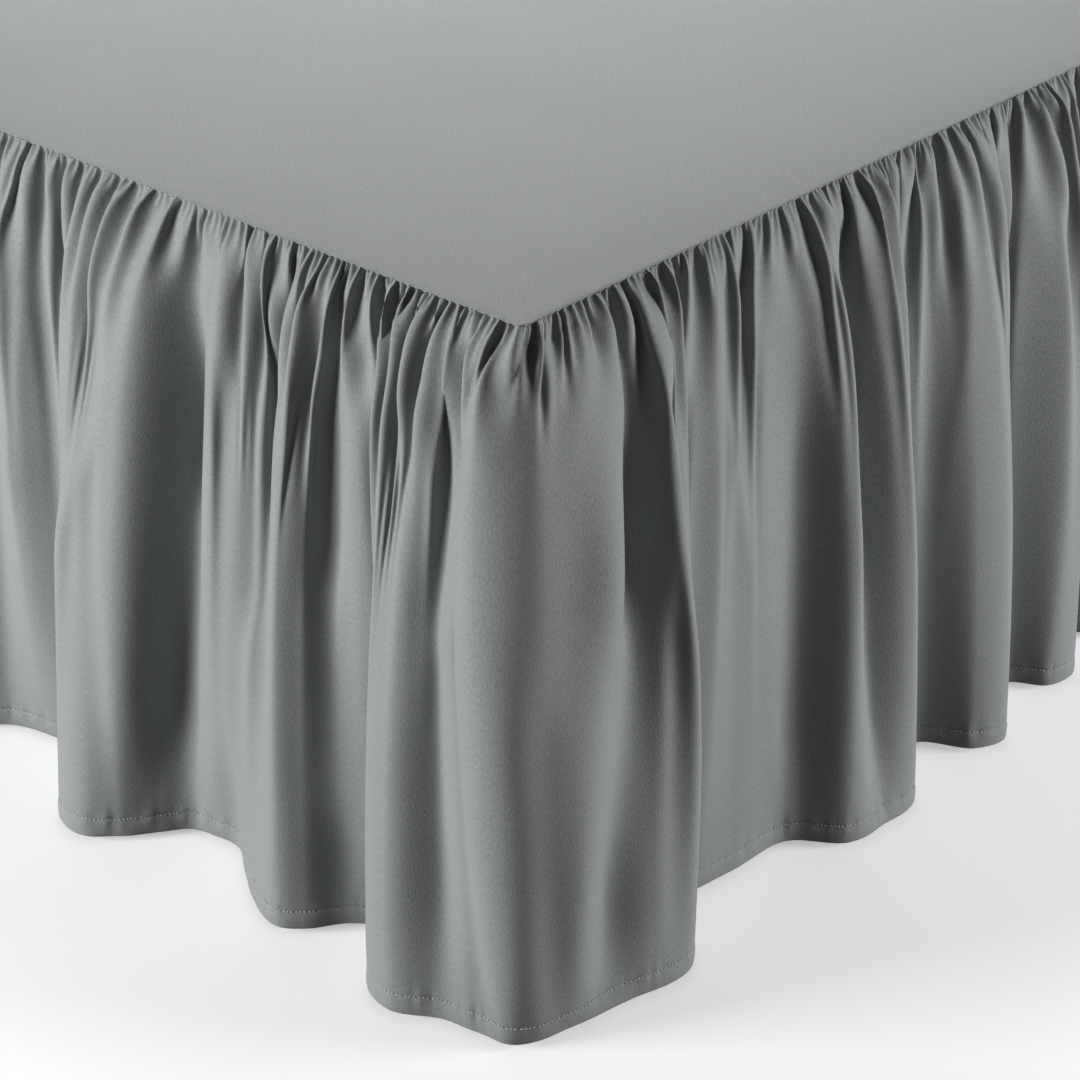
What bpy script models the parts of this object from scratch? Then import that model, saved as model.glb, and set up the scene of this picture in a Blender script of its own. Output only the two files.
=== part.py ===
"""A gathered bed skirt on a plain bed base.

A flat deck lies on the base. A ruffle in four strips is sewn to the deck's foot edge and
both long edges, and hangs to just above the floor. The head end is open. Metres, +Z up,
the foot of the bed towards -Y.
"""
import math
import random

import bmesh
import bpy
import numpy as np
from mathutils import Matrix, Vector

MM = 0.001

# Twin bed, with the 15 inch drop that such skirts are sold with.
DECK_WIDTH = 0.990
DECK_LENGTH = 1.905
DROP = 0.380
HEM_CLEARANCE = 0.004
DECK_TOP = DROP + HEM_CLEARANCE
# The folds reach past the foot edge, so the deck sits this far towards the head of the middle.
DECK_SHIFT = 0.038
CLOTH = 0.0016
SEAM_GAP = 0.0005
REST_GAP = 0.0003
DECK_CORNER_RADIUS = 0.010

# The base under the cloth.
BASE_INSET = 0.008
BASE_HEIGHT = 0.200
BASE_EDGE_RADIUS = 0.012
BASE_TOP = DECK_TOP - CLOTH - REST_GAP
BASE_BOTTOM = BASE_TOP - BASE_HEIGHT
LEG_TOP_RADIUS = 0.026
LEG_FOOT_RADIUS = 0.019
LEG_INSET = 0.060
LEG_SIDES = 24

# The ruffle: where its strips are joined, and how finely each is cut into faces.
STRIP_LENGTH = 1.20
STRIP_GAP = 0.0007
SEAM_BAND = 0.004
MID_DEPTH = 0.160
BILLOW = 0.66
DEPTHS = (0.0, SEAM_BAND, 0.016, 0.040, 0.085, 0.150, 0.230, 0.310, DROP)
SHOWN_STEP = 0.0105
PLAIN_STEP = 0.0165
CORNER_STEP = 0.0050
CORNER_REACH = 0.030
NORMAL_STEP = 0.001

# Folds of the plain stretches, and the small gathers under the seam. Outs are measured
# from the deck's edge, and a crest begins and ends at a share of its fold's pitch.
FOLD_PITCH = 0.118
TROUGH_OUT = 0.022
CREST_OUT = 0.060
CREST_BEGINS = (0.30, 0.42)
CREST_ENDS = (0.66, 0.76)
FOLD_LEAN = 0.006
SEAM_WANDER = 0.004
MID_TROUGH_SHARE = 0.62
MID_CREST_SHARE = 0.66
END_OUT = 0.020
END_MID_OUT = 0.014
GATHER_PITCH = 0.038
GATHER_HEIGHT = 0.0028
GATHER_START = 0.015
GATHER_FADE = 0.075

# The wide fold round the left foot corner, in mm from the deck's edge.
CORNER_FOLD = (
    # along from the corner, mid out, hem out
    (-75, 14, 20),
    (-45, 43, 62),
    (-15, 36, 55),
    (0, 48, 66),
    (15, 37, 56),
    (45, 45, 64),
)
CORNER_FOLD_REACH = 0.075

# Lines that the cloth follows from the seam to the hem round the right foot corner, in mm.
# seam: distance along the deck's edge from the middle of that corner, the foot side negative.
# mid x, mid y: the line's place 160 mm under the seam, measured from the deck's sharp corner.
# hem x, hem y: its place at the hem. The foot's front is towards -y and the side is towards +x.
SHOWN_FOLDS = (
    # seam, mid x, mid y, hem x, hem y
    (-449, -455, -16, -458, -24),
    (-425, -430, -36, -432, -58),
    (-394, -392, -22, -397, -32),
    (-355, -364, -27, -362, -21),
    (-338, -346, -14, -342, -19),
    (-315, -324, -22, -318, -42),
    (-292, -303, -43, -302, -71),
    (-272, -282, -44, -272, -76),
    (-247, -262, -36, -258, -63),
    (-231, -241, -18, -243, -43),
    (-215, -224, -14, -231, -29),
    (-199, -204, -24, -216, -25),
    (-180, -186, -19, -199, -24),
    (-161, -167, -28, -177, -38),
    (-146, -153, -24, -157, -51),
    (-132, -131, -42, -126, -58),
    (-121, -121, -34, -116, -50),
    (-109, -110, -18, -101, -30),
    (-97, -95, -19, -90, -22),
    (-85, -82, -16, -79, -19),
    (-76, -72, -28, -67, -38),
    (-69, -64, -43, -58, -61),
    (-56, -49, -45, -36, -68),
    (-40, -26, -34, -8, -54),
    (-28, -10, -41, 12, -51),
    (-19, 5, -47, 30, -49),
    (-4, 30, -37, 40, -35),
    (16, 42, -12, 47, -12),
    (40, 45, 24, 54, 12),
    (62, 33, 52, 58, 32),
    (82, 47, 76, 62, 66),
    (91, 38, 86, 51, 79),
    (100, 18, 97, 28, 91),
    (112, 14, 112, 19, 105),
    (130, 20, 132, 22, 122),
    (152, 17, 153, 26, 148),
    (176, 14, 178, 29, 181),
    (200, 17, 203, 36, 194),
    (218, 39, 226, 60, 213),
    (238, 32, 245, 66, 243),
    (264, 46, 268, 63, 273),
    (278, 32, 283, 41, 287),
    (294, 13, 299, 23, 303),
    (312, 16, 317, 30, 323),
    (334, 38, 343, 60, 341),
    (364, 44, 371, 68, 364),
    (378, 27, 386, 41, 380),
    (392, 13, 398, 24, 397),
    (404, 18, 410, 35, 418),
    (428, 41, 437, 56, 431),
    (448, 43, 455, 61, 452),
    (478, 16, 481, 23, 485),
)

FOOT_Y = DECK_SHIFT - DECK_LENGTH / 2
HEAD_Y = DECK_SHIFT + DECK_LENGTH / 2
CORNER_ARC = DECK_CORNER_RADIUS * math.pi / 2
SIDE_RUN = DECK_LENGTH - DECK_CORNER_RADIUS
FOOT_RUN = DECK_WIDTH - 2 * DECK_CORNER_RADIUS
LEFT_CORNER = SIDE_RUN + CORNER_ARC / 2
RIGHT_CORNER = LEFT_CORNER + FOOT_RUN + CORNER_ARC
EDGE_LENGTH = RIGHT_CORNER + LEFT_CORNER


def clear_scene():
    for old in list(bpy.data.objects):
        bpy.data.objects.remove(old, do_unlink=True)


def make_material(name, colour, roughness):
    material = bpy.data.materials.new(name)
    material.use_nodes = True
    shader = material.node_tree.nodes["Principled BSDF"]
    shader.inputs["Base Color"].default_value = (*colour, 1.0)
    shader.inputs["Roughness"].default_value = roughness
    shader.inputs["Metallic"].default_value = 0.0
    return material


def add_object(name, mesh_maker, material):
    """Turn a bmesh into a named object with one material."""
    mesh = bpy.data.meshes.new(name)
    bmesh.ops.recalc_face_normals(mesh_maker, faces=mesh_maker.faces)
    mesh_maker.to_mesh(mesh)
    mesh_maker.free()
    mesh.materials.append(material)
    piece = bpy.data.objects.new(name, mesh)
    bpy.context.scene.collection.objects.link(piece)
    return piece


def edge_point(along, out):
    """Plan point `out` from the deck's edge, `along` it from the head end of the left side."""
    half_width = DECK_WIDTH / 2
    inner_x = half_width - DECK_CORNER_RADIUS
    inner_y = FOOT_Y + DECK_CORNER_RADIUS
    reach = DECK_CORNER_RADIUS + out
    if along < SIDE_RUN:
        return (-half_width - out, HEAD_Y - along)
    past = along - SIDE_RUN
    if past < CORNER_ARC:
        turn = past / DECK_CORNER_RADIUS
        return (-inner_x - reach * math.cos(turn), inner_y - reach * math.sin(turn))
    past -= CORNER_ARC
    if past < FOOT_RUN:
        return (-inner_x + past, FOOT_Y - out)
    past -= FOOT_RUN
    if past < CORNER_ARC:
        turn = past / DECK_CORNER_RADIUS
        return (inner_x + reach * math.sin(turn), inner_y - reach * math.cos(turn))
    return (half_width + out, inner_y + past - CORNER_ARC)


def shown_lines():
    """The photographed folds as rows of seam place, mid point and hem point."""
    corner_x = DECK_WIDTH / 2
    rows = []
    for seam, mid_x, mid_y, hem_x, hem_y in SHOWN_FOLDS:
        mid = (corner_x + mid_x * MM, FOOT_Y + mid_y * MM)
        hem = (corner_x + hem_x * MM, FOOT_Y + hem_y * MM)
        rows.append((RIGHT_CORNER + seam * MM, mid, hem))
    return rows


def plain_line(along, mid_out, hem_out, lean, dice):
    """One line of a plain stretch. `lean` shifts the hem along the edge."""
    seam = along + dice.uniform(-SEAM_WANDER, SEAM_WANDER)
    mid = edge_point(along + 0.4 * lean, mid_out)
    hem = edge_point(along + lean, hem_out)
    return (seam, mid, hem)


def plain_lines(start, end, dice):
    """Uneven folds between two places on the edge, three or four lines for each fold."""
    count = round((end - start) / FOLD_PITCH)
    widths = [dice.uniform(0.78, 1.22) for _ in range(count)]
    scale = (end - start) / sum(widths)
    rows = []
    place = start
    for width in widths:
        pitch = width * scale
        trough = TROUGH_OUT * dice.uniform(0.85, 1.20)
        crest = CREST_OUT * dice.uniform(0.86, 1.12)
        lean = dice.uniform(-FOLD_LEAN, FOLD_LEAN)
        rise = place + pitch * dice.uniform(*CREST_BEGINS)
        fall = place + pitch * dice.uniform(*CREST_ENDS)
        rows.append(plain_line(place, trough * MID_TROUGH_SHARE, trough, 0.0, dice))
        rows.append(plain_line(rise, crest * MID_CREST_SHARE, crest, lean, dice))
        if pitch > FOLD_PITCH:
            dip = dice.uniform(0.40, 0.52)
            rows.append(plain_line((rise + fall) / 2, crest * dip, crest * 0.98, lean, dice))
        fall_out = crest * dice.uniform(0.86, 1.0)
        rows.append(plain_line(fall, crest * MID_CREST_SHARE, fall_out, lean, dice))
        place += pitch
    return rows


def corner_lines(corner, dice):
    """The wide fold that wraps the other foot corner."""
    rows = []
    for along, mid_out, hem_out in CORNER_FOLD:
        rows.append(plain_line(corner + along * MM, mid_out * MM, hem_out * MM, 0.0, dice))
    return rows


def end_line(along):
    """The line where the ruffle ends at the open head of the bed."""
    return (along, edge_point(along, END_MID_OUT), edge_point(along, END_OUT))


def all_lines():
    """Every fold line round the bed, from the left side's head end to the right side's."""
    dice = random.Random(15)
    shown = shown_lines()
    shown_start = shown[0][0]
    shown_end = shown[-1][0]
    left_start = LEFT_CORNER - CORNER_FOLD_REACH
    left_end = LEFT_CORNER + CORNER_FOLD_REACH
    rows = plain_lines(0.0, left_start, dice)
    rows += corner_lines(LEFT_CORNER, dice)
    rows += plain_lines(left_end, shown_start, dice)
    rows += shown
    rows += plain_lines(shown_end, EDGE_LENGTH, dice)[1:]
    return [end_line(0.0)] + rows[1:] + [end_line(EDGE_LENGTH)]


def smooth_curve(knots, values, places):
    """Cubic curve through the values, with slopes taken from each knot's neighbours."""
    slopes = np.gradient(values, knots, axis=0)
    index = np.clip(np.searchsorted(knots, places, side="right") - 1, 0, len(knots) - 2)
    span = knots[index + 1] - knots[index]
    t = (places - knots[index]) / span
    if values.ndim == 2:
        span = span[:, None]
        t = t[:, None]
    start = values[index]
    end = values[index + 1]
    climb = slopes[index] * span
    land = slopes[index + 1] * span
    return (
        start * (1 + 2 * t) * (1 - t) ** 2
        + climb * t * (1 - t) ** 2
        + end * t * t * (3 - 2 * t)
        + land * t * t * (t - 1)
    )


class Ruffle:
    """The cloth's surface: a place along the hem and a depth give a point."""

    def __init__(self):
        rows = all_lines()
        self.seam = np.array([row[0] for row in rows])
        self.mid = np.array([row[1] for row in rows])
        self.hem = np.array([row[2] for row in rows])
        steps = np.linalg.norm(np.diff(self.hem, axis=0), axis=1)
        steps = np.maximum(steps, np.diff(self.seam))
        self.knots = np.concatenate([[0.0], np.cumsum(steps)])
        self.wave = gather_wave(self.knots[-1])

    def hem_place(self, along):
        """The place along the hem under a place along the seam."""
        return float(np.interp(along, self.seam, self.knots))

    def main_folds(self, places, depth):
        """Plan points of the main folds at one depth under the deck's top."""
        seam_along = np.interp(places, self.knots, self.seam)
        top = np.array([edge_point(along, SEAM_GAP + CLOTH) for along in seam_along])
        fallen = max(depth - SEAM_BAND, 0.0) / (DROP - SEAM_BAND)
        billow = fallen ** BILLOW
        middle = (MID_DEPTH / DROP) ** BILLOW
        top_share = (billow - middle) * (billow - 1) / middle
        mid_share = billow * (billow - 1) / (middle * (middle - 1))
        hem_share = billow * (billow - middle) / (1 - middle)
        mid = smooth_curve(self.knots, self.mid, places)
        hem = smooth_curve(self.knots, self.hem, places)
        return top_share * top + mid_share * mid + hem_share * hem

    def outer(self, places, depth):
        """Plan points of the cloth's outer face, with the small gathers that fade as they fall."""
        plan = self.main_folds(places, depth)
        if depth <= SEAM_BAND:
            return plan
        near = 1 - math.exp(-(depth - SEAM_BAND) / GATHER_START)
        height = GATHER_HEIGHT * near * math.exp(-depth / GATHER_FADE)
        lift = height * (1 + self.wave(places))
        return plan + outward(self.main_folds, places, depth) * lift[:, None]

    def inner(self, places, depth):
        """Plan points of the inner face, one cloth's thickness behind the outer."""
        return self.outer(places, depth) - CLOTH * outward(self.outer, places, depth)


def outward(curve, places, depth):
    """Unit plan normals of a curve, away from the bed."""
    run = curve(places + NORMAL_STEP, depth) - curve(places - NORMAL_STEP, depth)
    run /= np.linalg.norm(run, axis=1)[:, None]
    return np.column_stack([run[:, 1], -run[:, 0]])


def gather_wave(length):
    """A wave of uneven pitch and height along the cloth, from -1 to 1."""
    dice = random.Random(38)
    starts = [0.0]
    while starts[-1] < length:
        starts.append(starts[-1] + GATHER_PITCH * dice.uniform(0.7, 1.3))
    heights = np.array([dice.uniform(0.5, 1.0) for _ in starts])
    starts = np.array(starts)
    turns = np.arange(len(starts))

    def wave(places):
        turn = np.interp(places, starts, turns)
        height = np.interp(places, starts, heights)
        return height * np.cos(2 * math.pi * turn)

    return wave


def strip_places(ruffle, start, end):
    """Column places along the hem, closer together where folds show and at the corners."""
    places = [ruffle.hem_place(start) + STRIP_GAP / 2]
    last = ruffle.hem_place(end) - STRIP_GAP / 2
    shown_start = RIGHT_CORNER + SHOWN_FOLDS[0][0] * MM
    shown_end = RIGHT_CORNER + SHOWN_FOLDS[-1][0] * MM
    while places[-1] < last:
        seam = float(np.interp(places[-1], ruffle.knots, ruffle.seam))
        step = PLAIN_STEP
        if shown_start < seam < shown_end:
            step = SHOWN_STEP
        if min(abs(seam - LEFT_CORNER), abs(seam - RIGHT_CORNER)) < CORNER_REACH:
            step = CORNER_STEP
        places.append(places[-1] + step)
    if last - places[-2] < 0.4 * PLAIN_STEP:
        places.pop()
    places[-1] = last
    return np.array(places)


def make_ruffle_strip(name, ruffle, start, end, material):
    """One strip of the ruffle: an outer and an inner face, joined round their rims."""
    places = strip_places(ruffle, start, end)
    columns = len(places)
    rows = len(DEPTHS)
    wall = bmesh.new()
    for face in (ruffle.outer, ruffle.inner):
        levels = [face(places, depth) for depth in DEPTHS]
        grid = bmesh.ops.create_grid(wall, x_segments=columns - 1, y_segments=rows - 1, size=0.5)
        for vertex in grid["verts"]:
            column = round((vertex.co.x + 0.5) * (columns - 1))
            row = round((0.5 - vertex.co.y) * (rows - 1))
            vertex.co = Vector((*levels[row][column], DECK_TOP - DEPTHS[row]))
    rims = [edge for edge in wall.edges if edge.is_boundary]
    bmesh.ops.bridge_loops(wall, edges=rims)
    strip = add_object(name, wall, material)
    strip.data.shade_smooth()
    strip.data.set_sharp_from_angle(angle=math.radians(50))


def make_deck(material):
    """The flat cloth that lies on the base, with rounded corners."""
    deck = bmesh.new()
    middle = Matrix.Translation((0.0, DECK_SHIFT, DECK_TOP - CLOTH / 2))
    size = Matrix.Diagonal((DECK_WIDTH, DECK_LENGTH, CLOTH, 1.0))
    bmesh.ops.create_cube(deck, size=1.0, matrix=middle @ size)
    upright = [edge for edge in deck.edges if abs(edge.verts[0].co.z - edge.verts[1].co.z) > CLOTH / 2]
    foot = [edge for edge in upright if edge.verts[0].co.y < DECK_SHIFT]
    bmesh.ops.bevel(
        deck, geom=foot, offset=DECK_CORNER_RADIUS, segments=8, affect="EDGES", profile=0.5, material=-1
    )
    return add_object("deck", deck, material)


def make_base(material):
    """The plain bed base, a covered box with rounded edges."""
    base = bmesh.new()
    width = DECK_WIDTH - 2 * BASE_INSET
    length = DECK_LENGTH - 2 * BASE_INSET
    middle = Matrix.Translation((0.0, DECK_SHIFT, BASE_BOTTOM + BASE_HEIGHT / 2))
    size = Matrix.Diagonal((width, length, BASE_HEIGHT, 1.0))
    bmesh.ops.create_cube(base, size=1.0, matrix=middle @ size)
    bmesh.ops.bevel(
        base,
        geom=list(base.edges),
        offset=BASE_EDGE_RADIUS,
        segments=3,
        affect="EDGES",
        profile=0.5,
        material=-1,
    )
    return add_object("bed_base", base, material)


def make_leg(name, x, y, material):
    """A turned leg that narrows to its foot."""
    leg = bmesh.new()
    height = BASE_BOTTOM - REST_GAP
    bmesh.ops.create_cone(
        leg,
        cap_ends=True,
        segments=LEG_SIDES,
        radius1=LEG_FOOT_RADIUS,
        radius2=LEG_TOP_RADIUS,
        depth=height,
        matrix=Matrix.Translation((0.0, 0.0, height / 2)),
    )
    piece = add_object(name, leg, material)
    piece.location = (x, y, 0.0)
    piece.data.shade_smooth()
    piece.data.set_sharp_from_angle(angle=math.radians(40))
    return piece


def main():
    clear_scene()
    grey_cloth = make_material("grey_cloth", (0.27, 0.28, 0.275), 0.85)
    base_cloth = make_material("base_cloth", (0.62, 0.60, 0.56), 0.90)
    leg_wood = make_material("leg_wood", (0.36, 0.22, 0.12), 0.45)
    make_deck(grey_cloth)
    ruffle = Ruffle()
    names = ("ruffle_left", "ruffle_left_corner", "ruffle_right_corner", "ruffle_right")
    for number, name in enumerate(names):
        start = number * STRIP_LENGTH
        end = EDGE_LENGTH if name == names[-1] else start + STRIP_LENGTH
        make_ruffle_strip(name, ruffle, start, end, grey_cloth)
    make_base(base_cloth)
    leg_x = DECK_WIDTH / 2 - LEG_INSET
    leg_y = DECK_LENGTH / 2 - LEG_INSET
    for side, x in (("left", -leg_x), ("right", leg_x)):
        for place, y in (("foot", -leg_y), ("middle", 0.0), ("head", leg_y)):
            make_leg(f"leg_{place}_{side}", x, DECK_SHIFT + y, leg_wood)


main()
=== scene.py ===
# %% [markdown]
# A gathered bed skirt, dressed for its picture.
#
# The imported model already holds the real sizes: a flat deck, a ruffle in four strips that hangs
# from three of the deck's edges, and a plain bed base under them. This lesson gives each of them
# its finished look. Everything is in metres, +Z up, with the foot of the bed towards -Y.

import math
import random

import bmesh
import bpy
import numpy as np
from mathutils import Matrix, Vector


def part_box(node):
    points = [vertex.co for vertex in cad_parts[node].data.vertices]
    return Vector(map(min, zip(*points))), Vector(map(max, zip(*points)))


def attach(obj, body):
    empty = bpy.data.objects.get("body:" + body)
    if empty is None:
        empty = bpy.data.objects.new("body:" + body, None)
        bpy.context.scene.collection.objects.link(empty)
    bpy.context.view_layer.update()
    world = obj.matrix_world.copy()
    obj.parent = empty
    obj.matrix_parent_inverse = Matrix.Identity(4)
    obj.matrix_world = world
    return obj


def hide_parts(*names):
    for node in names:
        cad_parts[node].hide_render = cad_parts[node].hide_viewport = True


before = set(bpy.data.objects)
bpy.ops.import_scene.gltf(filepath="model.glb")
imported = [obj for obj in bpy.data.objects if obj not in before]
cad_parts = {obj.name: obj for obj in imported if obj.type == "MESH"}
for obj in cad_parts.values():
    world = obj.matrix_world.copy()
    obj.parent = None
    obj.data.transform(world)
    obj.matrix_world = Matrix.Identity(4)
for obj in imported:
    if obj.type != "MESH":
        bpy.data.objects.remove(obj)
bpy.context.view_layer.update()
deck_low, deck_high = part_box("deck")
MM = 0.001
DECK_TOP = deck_high.z
FOOT_Y = deck_low.y
HEAD_Y = deck_high.y
SIDE_X = deck_high.x

# %% [markdown]
# The picture looks down on one foot corner from about 1.2 metres away, through a lens of 85 mm.
# The camera's place is measured from that corner, so it stays right if the bed is resized. The
# lens is aimed by its compass angle and its tilt, which is how a photographer would note it.

# %% The camera
CAMERA_FROM_CORNER = Vector((0.716, -0.791, 0.4935))
CAMERA_TURN = math.radians(41.7)
CAMERA_TILT = math.radians(29.6)
camera_data = bpy.data.cameras.new("camera")
camera_data.lens = 85
camera_data.sensor_width = 36
camera_data.clip_start = 0.05
camera = bpy.data.objects.new("camera", camera_data)
bpy.context.scene.collection.objects.link(camera)
camera.location = Vector((SIDE_X, FOOT_Y, DECK_TOP)) + CAMERA_FROM_CORNER
camera.rotation_euler = (math.pi / 2 - CAMERA_TILT, 0.0, CAMERA_TURN)
bpy.context.scene.camera = camera
print("camera at", [round(v, 3) for v in camera.location])

# %% [markdown]
# Every material here starts from the same small helper: a Principled shader whose fixed values
# sit on its own sockets, and a node tree that the next lines add pattern to. Three more helpers
# add noise, a colour ramp and a bump, because every cloth and wood below is some mixture of those.

# %% A new material
def new_material(name, roughness, **sockets):
    """A material with its Principled shader; returns it with its nodes, links and shader."""
    material = bpy.data.materials.new(name)
    material.use_nodes = True
    nodes = material.node_tree.nodes
    shader = nodes["Principled BSDF"]
    shader.inputs["Roughness"].default_value = roughness
    for socket, value in sockets.items():
        shader.inputs[socket.replace("_", " ")].default_value = value
    return material, nodes, material.node_tree.links, shader


# %% Noise, ramp and bump
def noise(nodes, links, vector, scale, detail=2.0, stretch=(1.0, 1.0, 1.0)):
    """A noise texture on a stretched coordinate."""
    mapping = nodes.new("ShaderNodeMapping")
    mapping.inputs["Scale"].default_value = stretch
    links.new(vector, mapping.inputs["Vector"])
    texture = nodes.new("ShaderNodeTexNoise")
    texture.inputs["Scale"].default_value = scale
    texture.inputs["Detail"].default_value = detail
    links.new(mapping.outputs["Vector"], texture.inputs["Vector"])
    return texture.outputs["Fac"]


def ramp(nodes, links, value, low, high, start=0.3, end=0.7):
    """Colours that run from low to high as the value goes from start to end."""
    blend = nodes.new("ShaderNodeValToRGB")
    blend.color_ramp.elements[0].position = start
    blend.color_ramp.elements[1].position = end
    blend.color_ramp.elements[0].color = (*low, 1.0)
    blend.color_ramp.elements[1].color = (*high, 1.0)
    links.new(value, blend.inputs["Fac"])
    return blend.outputs["Color"]


def bump(nodes, links, height, strength, distance, below=None):
    """A bump node, on top of another one if given."""
    node = nodes.new("ShaderNodeBump")
    node.inputs["Strength"].default_value = strength
    node.inputs["Distance"].default_value = distance
    links.new(height, node.inputs["Height"])
    if below is not None:
        links.new(below, node.inputs["Normal"])
    return node.outputs["Normal"]


# %% [markdown]
# The skirt is brushed microfibre: a very fine plain weave whose surface has been raised to a
# short nap. From a step away it reads as smooth grey with a soft sheen on the folds' edges and a
# faint grain. The weave could be an image, but a wave texture on the cloth's own coordinates
# stays sharp at any size. UV here is real metres of cloth, so the threads turn with each fold.

# %% The grey cloth
CLOTH_DARK = (0.205, 0.214, 0.216)
CLOTH_LIGHT = (0.262, 0.272, 0.274)
CLOTH_ROUGHNESS = 0.75
SHEEN_TINT = (0.93, 0.97, 1.0, 1.0)
THREAD_PITCH = 0.00042
WAVES_PER_SCALE = math.pi / 10
THREAD_WOBBLE = 0.6
DRIFT_SCALE = 14.0
DRIFT_SHARE = 0.18
GRAIN_SCALE = 1300.0
GRAIN_STRETCH = (1.0, 0.35, 1.0)
THREAD_HEIGHT = 0.00008
NAP_HEIGHT = 0.0003


def crossed_threads(nodes, links, place):
    """A plain weave: two sets of waves at right angles, multiplied."""
    threads = []
    for direction in ("X", "Y"):
        wave = nodes.new("ShaderNodeTexWave")
        wave.bands_direction = direction
        wave.inputs["Scale"].default_value = WAVES_PER_SCALE / THREAD_PITCH
        wave.inputs["Distortion"].default_value = THREAD_WOBBLE
        links.new(place, wave.inputs["Vector"])
        threads.append(wave.outputs["Fac"])
    weave = nodes.new("ShaderNodeMath")
    weave.operation = "MULTIPLY"
    links.new(threads[0], weave.inputs[0])
    links.new(threads[1], weave.inputs[1])
    return weave.outputs["Value"]


def make_cloth():
    """Fine weave, nap grain and slow colour drift, on the cloth's UV in metres."""
    material, nodes, links, shader = new_material(
        "grey_cloth",
        CLOTH_ROUGHNESS,
        Sheen_Weight=0.15,
        Sheen_Roughness=0.35,
        Specular_IOR_Level=0.30,
    )
    shader.inputs["Sheen Tint"].default_value = SHEEN_TINT
    place = nodes.new("ShaderNodeTexCoord").outputs["UV"]
    drift = noise(nodes, links, place, DRIFT_SCALE, 4.0)
    grain = noise(nodes, links, place, GRAIN_SCALE, 2.0, GRAIN_STRETCH)
    mixed = nodes.new("ShaderNodeMath")
    mixed.operation = "MULTIPLY_ADD"
    mixed.inputs[1].default_value = DRIFT_SHARE
    links.new(drift, mixed.inputs[0])
    part_grain = nodes.new("ShaderNodeMath")
    part_grain.operation = "MULTIPLY"
    part_grain.inputs[1].default_value = 1 - DRIFT_SHARE
    links.new(grain, part_grain.inputs[0])
    links.new(part_grain.outputs["Value"], mixed.inputs[2])
    colour = ramp(nodes, links, mixed.outputs["Value"], CLOTH_DARK, CLOTH_LIGHT, 0.35, 0.65)
    links.new(colour, shader.inputs["Base Color"])
    weave = crossed_threads(nodes, links, place)
    soft = bump(nodes, links, weave, 0.25, THREAD_HEIGHT)
    nap = bump(nodes, links, grain, 0.5, NAP_HEIGHT, soft)
    links.new(nap, shader.inputs["Normal"])
    return material


cloth = make_cloth()
print("made", cloth.name)

# %% [markdown]
# The ruffle hangs from the deck's edge. Each row of the table below is one line that the cloth
# follows from the seam to the hem round the photographed corner: where it leaves the seam, where
# it is 160 mm lower, and where it ends. The rest of the bed gets plain uneven folds by a seeded
# rule. These are the solids' own sizes, so the looks and the model share one set of folds. Only
# the seam is finer here: the solids keep half a millimetre from the deck and round its corner to
# 10 mm, and the sewn cloth starts right under the deck's edge, with a corner of 3.5 mm.

# %% Sizes of the ruffle
DROP = 0.380
SEAM_BAND = 0.004
MID_DEPTH = 0.160
BILLOW = 0.66
DECK_CORNER_RADIUS = 0.0035
SEAM_OUT = 0.0001
SEAM_LOW = 0.0006
STRIP_LENGTH = 1.20
CORNER_ARC = DECK_CORNER_RADIUS * math.pi / 2
SIDE_RUN = HEAD_Y - FOOT_Y - DECK_CORNER_RADIUS
FOOT_RUN = 2 * (SIDE_X - DECK_CORNER_RADIUS)
LEFT_CORNER = SIDE_RUN + CORNER_ARC / 2
RIGHT_CORNER = LEFT_CORNER + FOOT_RUN + CORNER_ARC
EDGE_LENGTH = RIGHT_CORNER + LEFT_CORNER
print("edge to gather the ruffle onto:", round(EDGE_LENGTH, 3), "m")

# %% Sizes of the plain folds
FOLD_PITCH = 0.118
TROUGH_OUT = 0.022
CREST_OUT = 0.060
CREST_BEGINS = (0.30, 0.42)
CREST_ENDS = (0.66, 0.76)
FOLD_LEAN = 0.006
MID_LEAN_SHARE = 0.4
SEAM_WANDER = 0.004
MID_TROUGH_SHARE = 0.62
MID_CREST_SHARE = 0.66
END_OUT = 0.020
END_MID_OUT = 0.014
FOLD_WIDTHS = (0.78, 1.22)
TROUGH_OUTS = (0.85, 1.20)
CREST_OUTS = (0.86, 1.12)
DIP_OUTS = (0.40, 0.52)
FALL_OUTS = (0.86, 1.0)
DIP_HEM_SHARE = 0.98
FOLD_SEED = 15

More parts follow.
